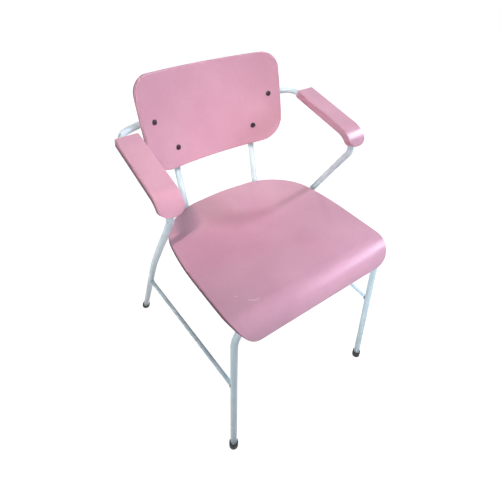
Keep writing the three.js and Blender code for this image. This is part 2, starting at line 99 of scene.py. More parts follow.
HOOP_HALF = SEAT_HALF - 12.5 * MM
HOOP_SETBACK = 6 * MM
HOOP_BEND_RADIUS = 54 * MM
LEG_SPLAY = 9.5 * MM
BAR_HALF = 150 * MM
BAR_Y = SEAT_REAR_Y - 76 * MM
SPINE_HALF = 105 * MM
SPINE_TOP_HALF = 111 * MM
SPINE_OVERHANG = 14 * MM  # in front of the hoop's bar
SPINE_BEND_RADIUS = 26 * MM
ROD_REAR_Z = 239 * MM
ROD_FRONT_Z = 237 * MM
ROD_BURIED = 2 * MM  # how deep the rods' ends stand in the legs

PAD_THICKNESS = 19 * MM
PAD_HALF = 25 * MM
PAD_ROUNDING = 2.2 * MM
PAD_STRAIGHT = 162 * MM
PAD_TURN = math.radians(60)
PAD_REAR_CORNER, PAD_FRONT_CORNER = 4 * MM, 21 * MM
PAD_INSET = 2.5 * MM  # from the middle of the arm's tube, towards the sitter
PAD_GRAIN_SHIFT = 200 * MM  # so that no two sheets show the same grain

CAP_RADIUS = 10.5 * MM
CAP_HEIGHT = 18 * MM
CAP_SOLE = 5 * MM
SPACER = 9.5 * MM
SPACER_RADIUS = 8 * MM
BOLT_HEAD = 6.5 * MM  # radii of head and shank
BOLT_SHANK = 3 * MM
BOLT_DOME = 3.1 * MM
BOLT_UPPER_HALF, BOLT_LOWER_HALF, BOLT_LOWER_UP = 156.5 * MM, 106 * MM, 48 * MM
NUT_RADIUS = 6 * MM
NUT_HEIGHT = 5 * MM
NUT_DOME_RADIUS, NUT_DOME = 4.7 * MM, 3.7 * MM
SCREW_HEAD = 4.5 * MM  # radii of head and shank
SCREW_SHANK = 2.25 * MM
SCREW_DOME = 2 * MM
SEAT_SCREW_BITE, ARM_SCREW_BITE = 6.5 * MM, 12 * MM
SEAT_SCREW_FRONT_HALF, SEAT_SCREW_REAR_HALF = 140 * MM, 135 * MM
ARM_SCREW_SHARES = (0.22, 0.62)  # of the pad's straight run, from its rear end
FIT = 0.2 * MM  # the gap under heads and nuts, and round a leg in its cap


def at(x, y, z):
    """A point of the chair: y is measured from the line of the front feet."""
    return Vector((x, y + FRONT_LINE, z))


# ---- Working on meshes ----
HAIR = 0.001 * MM  # less than any length that counts


def only(obj):
    bpy.ops.object.select_all(action="DESELECT")
    obj.select_set(True)
    bpy.context.view_layer.objects.active = obj


def edit(obj, mode="VERT"):
    only(obj)
    bpy.ops.object.mode_set(mode="EDIT")
    bpy.ops.mesh.select_mode(type=mode)


def pick(obj, kind, test):
    """Selects in edit mode what passes the test; kind is verts, edges or faces."""
    bpy.ops.mesh.select_all(action="DESELECT")
    mesh = bmesh.from_edit_mesh(obj.data)
    for item in getattr(mesh, kind):
        if test(item):
            item.select_set(True)
    mesh.select_flush_mode()
    bmesh.update_edit_mesh(obj.data)


def turn(angle, axis, centre):
    """A right-handed turn; with no window the operator turns the other way."""
    bpy.ops.transform.rotate(value=-angle, orient_axis=axis, center_override=centre)


def leave_edit():
    bpy.ops.object.mode_set(mode="OBJECT")


def pick_all():
    bpy.ops.mesh.select_all(action="SELECT")


def apply_place():
    bpy.ops.object.transform_apply(location=True, rotation=True, scale=True)


def apply_modifiers(obj):
    only(obj)
    for modifier in list(obj.modifiers):
        bpy.ops.object.modifier_apply(modifier=modifier.name)


def round_off(obj, name, width, segments):
    """Rounds the sharp edges a little."""
    bevel = obj.modifiers.new(name, "BEVEL")
    bevel.width = width
    bevel.segments = segments
    bevel.limit_method = "ANGLE"
    bevel.angle_limit = math.radians(60)


def smooth(obj, degrees):
    only(obj)
    bpy.ops.object.shade_smooth_by_angle(angle=math.radians(degrees))


def fit_out(obj, name, material, slot, *nodes):
    """Names a finished piece and ties it to the CAD nodes that it stands for."""
    obj.name = name
    obj.data.name = name
    if material is not None:
        obj.data.materials.append(material)
    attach(obj, BODY)
    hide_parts(*nodes)


# ---- Materials ----
def srgb(code):
    """An sRGB hex colour as linear numbers."""
    def linear(pair):
        value = int(pair, 16) / 255
        return value / 12.92 if value <= 0.04045 else ((value + 0.055) / 1.055) ** 2.4
    return (linear(code[1:3]), linear(code[3:5]), linear(code[5:7]), 1.0)


def add(tree, kind, settings=None, out=0, **inputs):
    """Adds a node with its settings and links and gives one of its outputs.
    Inputs go by name or by _number."""
    node = tree.nodes.new("ShaderNode" + kind)
    for key, value in (settings or {}).items():
        setattr(node, key, value)
    for key, value in inputs.items():
        socket = node.inputs[int(key[1:]) if key[1:].isdigit() else key.replace("_", " ")]
        if isinstance(value, bpy.types.NodeSocket):
            tree.links.new(value, socket)
        else:
            socket.default_value = value
    return node.outputs[out] if node.outputs else node


def new_material(name):
    material = bpy.data.materials.new(name)
    material.use_nodes = True
    material.node_tree.nodes.clear()
    return material, material.node_tree


def per(size_mm):
    """The texture scale whose pattern repeats about every so many millimetres."""
    return 1 / (size_mm * MM)


def grey(value):
    return (value, value, value, 1)


MULTIPLIED = {"data_type": "RGBA", "blend_type": "MULTIPLY"}
MIXED = {"data_type": "RGBA"}
TIMES = {"operation": "MULTIPLY"}
LARGER = {"operation": "MAXIMUM"}
ON_BLANK = {"attribute_type": "GEOMETRY", "attribute_name": "blank"}
PINK, DEEP_PINK, RUBBED_PINK = "#d39cad", "#cc94a6", "#e8ccd7"
PAINT_ROUGHNESS = 0.32


def ply_paint(name, scuffs=()):
    """Satin enamel sprayed on sanded beech plywood. It gives the eye a soft, cloudy pink with a lilac sheen,
    a slight orange peel, hardly any grain, and pale rubs where people and clothes have worn it."""
    material, tree = new_material(name)
    blank = add(tree, "Attribute", ON_BLANK, "Vector")
    cloud = add(tree, "TexNoise", Vector=blank, Scale=per(120), Detail=2.0, Roughness=0.5)
    clouded = add(tree, "MapRange", Value=cloud, From_Min=0.35, From_Max=0.65)
    colour = add(tree, "Mix", MIXED, 2, _0=clouded, _6=srgb(DEEP_PINK), _7=srgb(PINK))
    mottle = add(tree, "TexNoise", Vector=blank, Scale=per(9), Detail=2.0, Roughness=0.6)
    mottled = add(tree, "MapRange", Value=mottle, From_Min=0.3, From_Max=0.7, To_Min=0.97)
    colour = add(tree, "Mix", MULTIPLIED, 2, _0=1.0, _6=colour, _7=mottled)
    # The grain of the face veneer runs from front to rear: pore lines 1.4 mm apart and 45 mm long.
    drawn = add(tree, "Mapping", Vector=blank, Scale=(per(1.4), per(45), per(1.4)))
    grain = add(tree, "TexNoise", Vector=drawn, Scale=1.0, Detail=2.0, Roughness=0.5)
    pores = add(tree, "MapRange", Value=grain, From_Min=0.30, From_Max=0.46, To_Min=0.965)
    colour = add(tree, "Mix", MULTIPLIED, 2, _0=1.0, _6=colour, _7=pores)
    # Fine pale rubs, about 1 mm wide and 38 mm long, cross in two directions and keep to worn patches.
    worn = 0.0
    for angle, width, patch_size in ((0.5, 1.1, 75), (-0.9, 0.9, 55)):
        lines = add(tree, "Mapping", Vector=blank, Rotation=(0, 0, angle),
                    Scale=(per(38), per(width), per(38)))
        streak = add(tree, "TexNoise", Vector=lines, Scale=1.0, Detail=1.0)
        streak = add(tree, "MapRange", Value=streak, From_Min=0.71, From_Max=0.80, To_Max=0.6)
        patch = add(tree, "TexNoise", Vector=blank, Scale=per(patch_size), Detail=1.0)
        patch = add(tree, "MapRange", Value=patch, From_Min=0.50, From_Max=0.62)
        rub = add(tree, "Math", TIMES, _0=streak, _1=patch)
        worn = add(tree, "Math", LARGER, _0=rub, _1=worn)
    broken = add(tree, "TexNoise", Vector=blank, Scale=per(3.5), Detail=3.0, Roughness=0.7)
    broken = add(tree, "MapRange", Value=broken, From_Min=0.42, From_Max=0.60, To_Min=0.15)
    for x, y, angle, length, width, strength in scuffs:
        spot = add(tree, "Mapping", {"vector_type": "TEXTURE"}, Vector=blank,
                   Location=(x * MM, y * MM, 0), Rotation=(0, 0, math.radians(angle)),
                   Scale=(length * MM, width * MM, 30 * MM))
        spot = add(tree, "TexGradient", {"gradient_type": "SPHERICAL"}, "Fac", Vector=spot)
        spot = add(tree, "Math", TIMES, _0=spot, _1=broken)
        spot = add(tree, "MapRange", Value=spot, From_Min=0.05, From_Max=0.45, To_Max=strength)
        worn = add(tree, "Math", LARGER, _0=spot, _1=worn)
    colour = add(tree, "Mix", MIXED, 2, _0=worn, _6=colour, _7=srgb(RUBBED_PINK))
    gloss = add(tree, "MapRange", Value=mottle, From_Min=0.3, From_Max=0.7,
                To_Min=PAINT_ROUGHNESS - 0.02, To_Max=PAINT_ROUGHNESS + 0.03)
    dull = add(tree, "Math", TIMES, _0=worn, _1=0.65)
    gloss = add(tree, "Math", LARGER, _0=gloss, _1=dull)
    # Orange peel of the sprayed coat, 2.2 mm across, over the grain.
    peel = add(tree, "TexNoise", Vector=blank, Scale=per(2.2), Detail=1.0)
    height = add(tree, "Math", {"operation": "MULTIPLY_ADD"}, _0=grain, _1=0.4, _2=peel)
    bump = add(tree, "Bump", Strength=0.10, Distance=0.12 * MM, Height=height)
    shader = add(tree, "BsdfPrincipled", Base_Color=colour, Roughness=gloss, IOR=1.5,
                 Coat_Weight=0.6, Coat_Roughness=0.16, Normal=bump)
    add(tree, "OutputMaterial", Surface=shader)
    return material


def shaded_edge_paint(name, base, deeper_shade, bare, covered):
    """The cut edge of the plywood. The pink of the face reaches over it, down to a covered depth, and
    below that the edge is painted a dark, dull colour: painted shade, for the shade the edges lie in. In it a
    darker glue line shows faintly every 3.2 mm, and pale chips show the bare wood."""
    material, tree = new_material(name)
    blank = add(tree, "Attribute", ON_BLANK, "Vector")
    # The dark edge colour, mottled between two tones, is painted shade.
    smear = add(tree, "TexNoise", Vector=blank, Scale=per(14), Detail=3.0, Roughness=0.65)
    smeared = add(tree, "MapRange", Value=smear, From_Min=0.35, From_Max=0.65)
    colour = add(tree, "Mix", MIXED, 2, _0=smeared, _6=srgb(deeper_shade), _7=srgb(base))
    depth = add(tree, "SeparateXYZ", out="Z", Vector=blank)
    ply = add(tree, "Math", {"operation": "PINGPONG"}, _0=depth, _1=1.6 * MM)
    line = add(tree, "MapRange", Value=ply, From_Max=0.5 * MM, To_Min=0.78)
    colour = add(tree, "Mix", MULTIPLIED, 2, _0=1.0, _6=colour, _7=line)
    chips = add(tree, "TexNoise", Vector=blank, Scale=per(4), Detail=3.0, Roughness=0.7)
    chips = add(tree, "MapRange", Value=chips, From_Min=0.66, From_Max=0.70, To_Max=0.8)
    colour = add(tree, "Mix", MIXED, 2, _0=chips, _6=colour, _7=srgb(bare))
    over = add(tree, "MapRange", Value=depth, From_Min=-covered - 0.6 * MM, From_Max=-covered)
    colour = add(tree, "Mix", MIXED, 2, _0=over, _6=colour, _7=srgb(PINK))
    gloss = add(tree, "MapRange", Value=smear, To_Min=0.48, To_Max=0.68)
    bump = add(tree, "Bump", Strength=0.25, Distance=0.15 * MM, Height=line)
    shader = add(tree, "BsdfPrincipled", Base_Color=colour, Roughness=gloss, IOR=1.5, Normal=bump)
    add(tree, "OutputMaterial", Surface=shader)
    return material


def tube_enamel(name, pale, shade, grime_and_shade, bare):
    """Brushed enamel on drawn steel tube. It gives the eye a cool, glossy off-white, a little uneven,
    greyer towards the floor, partly as dirt and partly as painted shade, with a few small chips to the steel."""
    material, tree = new_material(name)
    place = add(tree, "TexCoord", out="Object")
    cloud = add(tree, "TexNoise", Vector=place, Scale=per(40), Detail=3.0, Roughness=0.6)
    clouded = add(tree, "MapRange", Value=cloud, From_Min=0.35, From_Max=0.65)
    colour = add(tree, "Mix", MIXED, 2, _0=clouded, _6=srgb(shade), _7=srgb(pale))
    height = add(tree, "SeparateXYZ", out="Z", Vector=place)
    # Darker and greyer towards the floor: partly floor dirt, partly painted shade for the dimmer light low
    # down.
    low = add(tree, "MapRange", {"interpolation_type": "SMOOTHSTEP"}, Value=height,
              From_Min=15 * MM, From_Max=330 * MM, To_Min=0.40, To_Max=0.0)
    smear = add(tree, "TexNoise", Vector=place, Scale=per(12), Detail=3.0, Roughness=0.6)
    smeared = add(tree, "MapRange", Value=smear, From_Min=0.35, From_Max=0.70, To_Min=0.45)
    dirt_and_shade = add(tree, "Math", TIMES, _0=low, _1=smeared)
    colour = add(tree, "Mix", MIXED, 2, _0=dirt_and_shade, _6=colour, _7=srgb(grime_and_shade))
    chips = add(tree, "TexNoise", Vector=place, Scale=per(3.2), Detail=2.0, Roughness=0.65)
    chips = add(tree, "MapRange", Value=chips, From_Min=0.735, From_Max=0.76)
    knocked = add(tree, "TexNoise", Vector=place, Scale=per(70), Detail=1.0)
    knocked = add(tree, "MapRange", Value=knocked, From_Min=0.50, From_Max=0.58)
    chipped = add(tree, "Math", TIMES, _0=chips, _1=knocked)
    colour = add(tree, "Mix", MIXED, 2, _0=chipped, _6=colour, _7=srgb(bare))
    gloss = add(tree, "MapRange", Value=smear, To_Min=0.24, To_Max=0.40)
    runs = add(tree, "TexNoise", Vector=place, Scale=per(5), Detail=1.0)
    bump = add(tree, "Bump", Strength=0.15, Distance=0.2 * MM, Height=runs)
    shader = add(tree, "BsdfPrincipled", Base_Color=colour, Roughness=gloss, IOR=1.5, Normal=bump)
    add(tree, "OutputMaterial", Surface=shader)
    return material


def moulded_rubber(name, base, dusty):
    """Black vulcanised rubber from a mould. It gives the eye a matt near-black, finely pebbled, with a
    little floor dust on it."""
    material, tree = new_material(name)
    place = add(tree, "TexCoord", out="Object")
    dust = add(tree, "TexNoise", Vector=place, Scale=per(5), Detail=4.0, Roughness=0.65)
    dusted = add(tree, "MapRange", Value=dust, From_Min=0.45, From_Max=0.80)
    colour = add(tree, "Mix", MIXED, 2, _0=dusted, _6=srgb(base), _7=srgb(dusty))
    pebble = add(tree, "TexNoise", Vector=place, Scale=per(1.0), Detail=2.0)
    bump = add(tree, "Bump", Strength=0.3, Distance=0.1 * MM, Height=pebble)
    gloss = add(tree, "MapRange", Value=dust, To_Min=0.40, To_Max=0.75)
    shader = add(tree, "BsdfPrincipled", Base_Color=colour, Roughness=gloss, IOR=1.52, Normal=bump)
    add(tree, "OutputMaterial", Surface=shader)
    return material


def fastener_steel(name, base, tarnish, roughness, oil):
    """Turned and pressed steel, blackened in oil or zinc-plated. It gives the eye a metal sheen clouded
    with tarnish, and the oil left on it a thin gloss."""
    material, tree = new_material(name)
    place = add(tree, "TexCoord", out="Object")
    cloud = add(tree, "TexNoise", Vector=place, Scale=per(2.5), Detail=3.0, Roughness=0.6)
    clouded = add(tree, "MapRange", Value=cloud, From_Min=0.38, From_Max=0.62)
    colour = add(tree, "Mix", MIXED, 2, _0=clouded, _6=srgb(tarnish), _7=srgb(base))
    gloss = add(tree, "MapRange", Value=cloud, To_Min=roughness + 0.1, To_Max=roughness - 0.05)
    bump = add(tree, "Bump", Strength=0.3, Distance=0.08 * MM, Height=cloud)
    shader = add(tree, "BsdfPrincipled", Base_Color=colour, Metallic=1.0, Roughness=gloss,
                 Coat_Weight=oil, Coat_Roughness=0.18, Normal=bump)
    add(tree, "OutputMaterial", Surface=shader)
    return material


# Pale marks on the seat: place on the blank, angle, length, width (millimetres and degrees), strength.
SEAT_SCUFFS = [(143, 349, -36, 15, 2.0, 0.7), (132, 352, -30, 10, 1.4, 0.55),
               (165, 322, -45, 6, 2.0, 0.45), (171, 331, -25, 8, 1.2, 0.3),
               (-100, 120, 20, 4, 2.5, 0.3), (-50, 230, -15, 4, 2.0, 0.25)]
seat_paint = ply_paint("satin_enamel_pink_seat", SEAT_SCUFFS)
back_paint = ply_paint("satin_enamel_pink")
# The dark edge colours on seat, back and pads are painted shade.
seat_edge_shade = shaded_edge_paint("enamel_with_painted_shade_on_seat_edge", "#6f3a4c", "#472433", "#a88d82", 0.4 * MM)
rim_edge_shade = shaded_edge_paint("enamel_with_painted_shade_on_back_and_pad_edge", "#8c4e64", "#5c3144", "#b59a8e", 6 * MM)
tube_paint = tube_enamel("cool_white_enamel_on_steel", "#dcecef", "#cfe1e6", "#8b9299", "#6f6259")
# Dark grey enamel for the front welds, painted shade for the shade at those joints.
weld_shade_paint = tube_enamel("enamel_with_painted_shade_on_weld", "#7f8689", "#4e5457", "#45433f", "#4d3c33")
rubber = moulded_rubber("black_moulded_rubber", "#08090a", "#1a1c1b")
dark_steel = fastener_steel("oil_blackened_steel", "#45303d", "#2a1b25", 0.24, 0.5)
zinc = fastener_steel("zinc_plated_steel", "#b9bcbd", "#8f9394", 0.34, 0.0)


# ---- Turned pieces and copies ----
def turned(profile, sides=32):
    """A turned piece on the world's Z axis: rings of (radius, height), closed at both ends."""
    radius, height = profile[0]
    bpy.ops.mesh.primitive_circle_add(vertices=sides, radius=radius, fill_type="NGON",
                                      location=(0, 0, height))
    obj = bpy.context.object
    apply_place()
    edit(obj)
    pick_all()
    for wider, higher in profile[1:]:
        bpy.ops.mesh.extrude_region_move(TRANSFORM_OT_translate={"value": (0, 0, higher - height)})
        size = wider / radius
        bpy.ops.transform.resize(value=(size, size, 1), center_override=(0, 0, higher))
        radius, height = wider, higher
    pick_all()
    bpy.ops.mesh.normals_make_consistent(inside=False)
    leave_edit()
    smooth(obj, 35)
    return obj


def copy_of(obj):
    """A copy with its own mesh."""
    only(obj)
    bpy.ops.object.duplicate(linked=False)
    return bpy.context.object


def put(obj, origin, direction):
    """Stands a piece from the origin at its place, its Z axis along a direction, and applies it."""
    only(obj)
    obj.rotation_euler = direction.to_track_quat("Z", "Y").to_euler()
    obj.location = origin
    apply_place()


def joined(first, *others):
    only(first)
    for other in others:
        other.select_set(True)
    bpy.ops.object.join()
    return first


# ---- Tubes ----
def straight(start, end):
    return (end - start).normalized()


def bend_at(before, corner, after, radius):
    """The round bend between two straight runs: where it starts, its centre, axis and angle, and the
    direction of the run that leads to it."""
    inward, outward = straight(before, corner), straight(corner, after)
    angle = inward.angle(outward)
    axis = inward.cross(outward).normalized()
    start = corner - inward * radius * math.tan(angle / 2)
    return start, start + axis.cross(inward) * radius, axis, angle, inward


def tube_route(corners):
    """Runs and bends through corners, each with its bend radius; the first and the last are ends."""
    moves, here = [], corners[0][0]
    for index in range(1, len(corners) - 1):
        corner, radius = corners[index]
        before, after = corners[index - 1][0], corners[index + 1][0]
        start, centre, axis, angle, _ = bend_at(before, corner, after, radius)
        moves.append(("run", start - here))
        moves.append(("bend", centre, axis, angle))
        here = centre + Matrix.Rotation(angle, 3, axis) @ (start - centre)
    moves.append(("run", corners[-1][0] - here))
    return moves


def bent_tube(start, direction, moves, diameter=TUBE, wall=TUBE_WALL):
    """Draws a ring along straight runs and round bends, as the tube was bent, and gives it its wall."""
    bpy.ops.mesh.primitive_circle_add(vertices=TUBE_SIDES, radius=diameter / 2, fill_type="NOTHING",
                                      location=start, rotation=direction.to_track_quat("Z", "Y").to_euler())
    obj = bpy.context.object
    apply_place()
    edit(obj)
    pick_all()
    for move in moves:
        if move[0] == "run":
            bpy.ops.mesh.extrude_region_move(TRANSFORM_OT_translate={"value": move[1]})
        else:
            _, centre, axis, angle = move
            steps = max(2, math.ceil(angle / BEND_STEP))
            bpy.ops.mesh.spin(steps=steps, angle=-angle, center=centre, axis=axis)
    pick_all()
    bpy.ops.mesh.remove_doubles(threshold=10 * HAIR)
    bpy.ops.mesh.normals_make_consistent(inside=False)
    leave_edit()
    shell = obj.modifiers.new("wall", "SOLIDIFY")
    shell.thickness = wall
    shell.offset = -1
    round_off(obj, "deburred ends", 0.35 * MM, 2)
    apply_modifiers(obj)
    smooth(obj, 40)
    return obj


def leg_end(foot, above):
    """Where the tube ends inside its cap, above the sole."""
    direction = straight(foot, above)
    tilt = math.hypot(direction.x, direction.y)
    return foot + direction * ((CAP_SOLE + TUBE / 2 * tilt) / direction.z)


AXIS_DEPTH = SHEET + SPACER + TUBE / 2
RAIL_RADIUS = (BACK_RADIUS + AXIS_DEPTH) * math.cos(BACK_LEAN)
RAIL_REAR_Y = BACK_Y + (RAIL_Z - BACK_Z) * math.tan(BACK_LEAN) + AXIS_DEPTH / math.cos(BACK_LEAN)
RAIL_CENTRE = at(0, RAIL_REAR_Y - RAIL_RADIUS, RAIL_Z)
RAIL_END = math.asin(RAIL_END_SHARE * ARM_HALF / RAIL_RADIUS)
RAIL_JOINT = math.asin(RAIL_JOINT_HALF / RAIL_RADIUS)
UP = Vector((0, 0, 1))
SIDES = (("left", -1), ("right", 1))


def on_rail(angle, sign):
    """A point of the bent tube behind the back, on its axis; the angle goes from the middle outwards."""
    return RAIL_CENTRE + Vector((sign * math.sin(angle), math.cos(angle), 0)) * RAIL_RADIUS


def side_corners(sign):
    """A side tube's foot and knee, the front and rear corner of its arm, and its end on the rail."""
    foot = at(sign * REAR_FOOT_HALF, REAR_FOOT_Y, 0)
    knee = at(sign * KNEE_HALF, KNEE_Y, KNEE_Z)
    arm_front = at(sign * ARM_HALF, ARM_FRONT_Y, ARM_FRONT_Z)
    rail_end = on_rail(RAIL_END, sign)
    tangent = Vector((-sign * math.cos(RAIL_END), math.sin(RAIL_END), 0))
    arm_rear = rail_end - tangent * ((ARM_HALF - abs(rail_end.x)) / abs(tangent.x))
    return foot, knee, arm_front, arm_rear, rail_end


# The hoop's bar lies under the seat's front bend, the rear bar under its straight run.
UNDER_BEND = SEAT_BEND_RADIUS - SHEET - CLEARANCE - TUBE / 2
HOOP_Z = SEAT_HEIGHT - SEAT_BEND_RADIUS + math.sqrt(UNDER_BEND ** 2 - (HOOP_SETBACK - SEAT_BEND_Y) ** 2)
SEAT_SLOPE = math.atan2(SEAT_DROP, SEAT_RUN)
BAR_Z = (SEAT_REAR_Z + (SEAT_REAR_Y - BAR_Y) * math.tan(SEAT_SLOPE) - SHEET / math.cos(SEAT_SLOPE) - CLEARANCE
         - TUBE / 2)


def hoop_corner(sign):
    return at(sign * HOOP_HALF, HOOP_SETBACK, HOOP_Z)


def hoop_foot(sign):
    return at(sign * (HOOP_HALF + LEG_SPLAY), 0, 0)


# A weld bead's rings, in millimetres: out from the tube or rod, and along it from the surface it meets.
BEAD_RINGS = [(0.0, -1.5), (1.3, -1.0), (1.5, 0.2), (1.1, 1.1), (0.4, 1.8), (0.0, 2.2)]
BEAD_SLACK = 0.05 * MM


def weld_bead(origin, direction, diameter, material):
    """The rounded bead of a weld round a tube or rod, at the surface of the tube it meets."""
    radius = diameter / 2 + BEAD_SLACK
    bead = turned([(radius + out * MM, TUBE / 2 + along * MM) for out, along in BEAD_RINGS])
    bead.data.materials.append(material)
    put(bead, origin, direction)
    return bead


def build_hoop():
    ends = [leg_end(hoop_foot(sign), hoop_corner(sign)) for sign in (-1, 1)]
    route = tube_route([(ends[0], 0), (hoop_corner(-1), HOOP_BEND_RADIUS),
                        (hoop_corner(1), HOOP_BEND_RADIUS), (ends[1], 0)])
    hoop = bent_tube(ends[0], straight(ends[0], hoop_corner(-1)), route)
    fit_out(hoop, "front_hoop_tube", tube_paint, "frame_paint", "front_leg_hoop")


def build_side_tubes():
    for label, sign in SIDES:
        foot, knee, arm_front, arm_rear, rail_end = side_corners(sign)
        end = leg_end(foot, knee)
        moves = tube_route([(end, 0), (knee, KNEE_RADIUS), (arm_front, ARM_BEND_RADIUS),
                            (arm_rear, ARM_REAR_RADIUS), (rail_end, 0)])
        moves.append(("bend", RAIL_CENTRE, UP * sign, RAIL_END - RAIL_JOINT))
        side = bent_tube(end, straight(end, knee), moves)
        fit_out(side, f"leg_and_arm_tube_{label}", tube_paint, "frame_paint", f"side_tube_{label}")


def build_bars():
    half = RAIL_JOINT - CLEARANCE / RAIL_RADIUS / 2
    leftward = Vector((-math.cos(half), math.sin(half), 0))
    rail = bent_tube(on_rail(half, 1), leftward, [("bend", RAIL_CENTRE, UP, 2 * half)])
    fit_out(rail, "back_rail_tube", tube_paint, "frame_paint", "back_rail")

    bar_ends = [at(-BAR_HALF, BAR_Y, BAR_Z), at(BAR_HALF, BAR_Y, BAR_Z)]
    bar = bent_tube(bar_ends[0], Vector((1, 0, 0)), [("run", bar_ends[1] - bar_ends[0])])
    fit_out(bar, "rear_bar_tube", tube_paint, "frame_paint", "rear_seat_bar")


def build_spines():
    """Each spine runs back under both seat bars, bends up and leans with the back to the rail."""
    rise = (HOOP_Z - BAR_Z) / (BAR_Y - HOOP_SETBACK)
    lean = math.tan(BACK_LEAN)

    def height(y):
        return HOOP_Z - TUBE - CLEARANCE - rise * (y - HOOP_SETBACK)

    for label, sign in SIDES:
        top = on_rail(math.asin(SPINE_TOP_HALF / RAIL_RADIUS), sign)
        corner_y = (top.y - FRONT_LINE - lean * (top.z - height(0))) / (1 + lean * rise)
        front_y = HOOP_SETBACK - SPINE_OVERHANG
        front = at(sign * SPINE_HALF, front_y, height(front_y))
        corner = at(sign * SPINE_HALF, corner_y, height(corner_y))
        route = tube_route([(front, 0), (corner, SPINE_BEND_RADIUS), (top, 0)])
        spine = bent_tube(front, straight(front, corner), route)
        spine.data.materials.append(tube_paint)
        joined(spine, weld_bead(top, straight(top, corner), TUBE, tube_paint))
        fit_out(spine, f"spine_tube_{label}", None, "frame_paint", f"spine_{label}")


def build_stretchers():
    for label, sign in SIDES:
        foot, knee, *_ = side_corners(sign)
        rear = foot.lerp(knee, ROD_REAR_Z / knee.z)
        front = hoop_foot(sign).lerp(hoop_corner(sign), ROD_FRONT_Z / HOOP_Z)
        direction = straight(rear, front)
        inside = TUBE / 2 - ROD_BURIED
        start = rear + direction * inside
        length = (front - rear).length - 2 * inside
        rod = bent_tube(start, direction, [("run", direction * length)], ROD, ROD_WALL)
        rod.data.materials.append(tube_paint)
        # The front welds are painted dark grey: painted shade, for the shade where rod and leg meet.
        joined(rod, weld_bead(rear, direction, ROD, tube_paint),
               weld_bead(front, -direction, ROD, weld_shade_paint))
        fit_out(rod, f"stretcher_rod_{label}", None, "frame_paint", f"stretcher_{label}")


# ---- Bent plywood ----
def corner_inset(distance, length, width=None):
    """How much a rounded corner narrows the sheet at a distance from its end."""
    width = length if width is None else width
    return width * (1 - math.sqrt(1 - (1 - distance / length) ** 2)) if distance < length else 0.0


def outline_rows(length, start_corner, end_corner, start_steps, middle_steps, end_steps):
    """Rows that step evenly round the corners at both ends."""
    def arc(steps):
        return [1 - math.cos(index * math.pi / 2 / steps) for index in range(steps + 1)]
    first = [start_corner * share for share in arc(start_steps)]
    last = [length - end_corner * share for share in reversed(arc(end_steps))]
    gap = (last[0] - first[-1]) / middle_steps
    return first + [first[-1] + gap * step for step in range(1, middle_steps)] + last


BOW_CUTS = 11
ROUNDING_STEPS = 5
RIM = 1.0 * MM  # a flat rim inside the rounding, which keeps its shading clean


def plywood(rows, half_width, bow, thickness, edge, cuts_forth, cuts_across):
    """A flat blank lying on its good face's plane: outline, rounded edges, then lines for bending.
    Its first row is at y = 0 and its last at y = +length. The good face is up, at z = 0."""
    bpy.ops.mesh.primitive_grid_add(x_subdivisions=1, y_subdivisions=len(rows) - 1, size=2)
    obj = bpy.context.object
    edit(obj)
    spacing = 2 / (len(rows) - 1)
    mesh = bmesh.from_edit_mesh(obj.data)
    row_of = [round((vertex.co.y + 1) / spacing) for vertex in mesh.verts]
    starts = [-1 + spacing * index for index in range(len(rows))]
    for index, row in enumerate(rows):
        pick(obj, "verts", lambda vertex: row_of[vertex.index] == index)
        bpy.ops.transform.resize(value=(half_width(row), 1, 1), center_override=(0, 0, 0))
        bpy.ops.transform.translate(value=(0, row + bow(row) - starts[index], 0))
    pick_all()
    bpy.ops.mesh.dissolve_faces(use_verts=False)
    # The end edges are bowed: their middle stands further out than their ends.
    for row in (rows[0], rows[-1]):
        if bow(row):
            line = row + bow(row)
            pick(obj, "edges", lambda side: all(abs(v.co.y - line) < HAIR for v in side.verts))
            bpy.ops.mesh.subdivide(number_cuts=BOW_CUTS)
            half = half_width(row)
            mesh = bmesh.from_edit_mesh(obj.data)
            middle = sorted({round(v.co.x, 6) for v in mesh.verts
                             if abs(v.co.y - line) < HAIR and abs(v.co.x) < half - HAIR})
            for x in middle:
                pick(obj, "verts", lambda v: abs(v.co.y - line) < HAIR and abs(v.co.x - x) < 10 * HAIR)
                bpy.ops.transform.translate(value=(0, -bow(row) * (1 - (x / half) ** 2), 0))
    pick_all()
    bpy.ops.transform.translate(value=(0, 0, edge - thickness))
    bpy.ops.mesh.select_mode(type="FACE")
    pick_all()
    bpy.ops.mesh.extrude_region_move(TRANSFORM_OT_translate={"value": (0, 0, thickness - 2 * edge)})
    for facing in (1, -1):
        pick(obj, "faces", lambda face: face.normal.z * facing > 0.99)
        for step in range(ROUNDING_STEPS):
            low = step * math.pi / 2 / ROUNDING_STEPS
            high = (step + 1) * math.pi / 2 / ROUNDING_STEPS
            bpy.ops.mesh.inset(thickness=edge * (math.cos(low) - math.cos(high)),
                               depth=edge * (math.sin(high) - math.sin(low)), use_even_offset=True)
        bpy.ops.mesh.inset(thickness=RIM, depth=0, use_even_offset=True)
    for y in cuts_forth:
        pick_all()
        bpy.ops.mesh.bisect(plane_co=(0, y, 0), plane_no=(0, 1, 0))
    for x in cuts_across:
        pick_all()
        bpy.ops.mesh.bisect(plane_co=(x, 0, 0), plane_no=(1, 0, 0))
    leave_edit()
    note_blank(obj)
    return obj


def note_blank(obj):
    """Keeps each point's place on the flat blank, so that grain and plies follow the bent sheet."""
    blank = obj.data.attributes.new("blank", "FLOAT_VECTOR", "POINT")
    for vertex in obj.data.vertices:
        blank.data[vertex.index].vector = vertex.co


def paint_edge(obj, face_paint, rim_paint, on_rim):
    """Faces get the face paint, and those that the test picks the paint of the cut edge."""
    obj.data.materials.append(face_paint)
    obj.data.materials.append(rim_paint)
    edit(obj, "FACE")
    pick(obj, "faces", on_rim)
    obj.active_material_index = 1
    bpy.ops.object.material_slot_assign()
    leave_edit()


def all_round(face):
    """Every face of the blank's rim but the flattest of its rounding."""
    return abs(face.normal.z) < 0.90


ROUNDING_ERROR = 1e-9


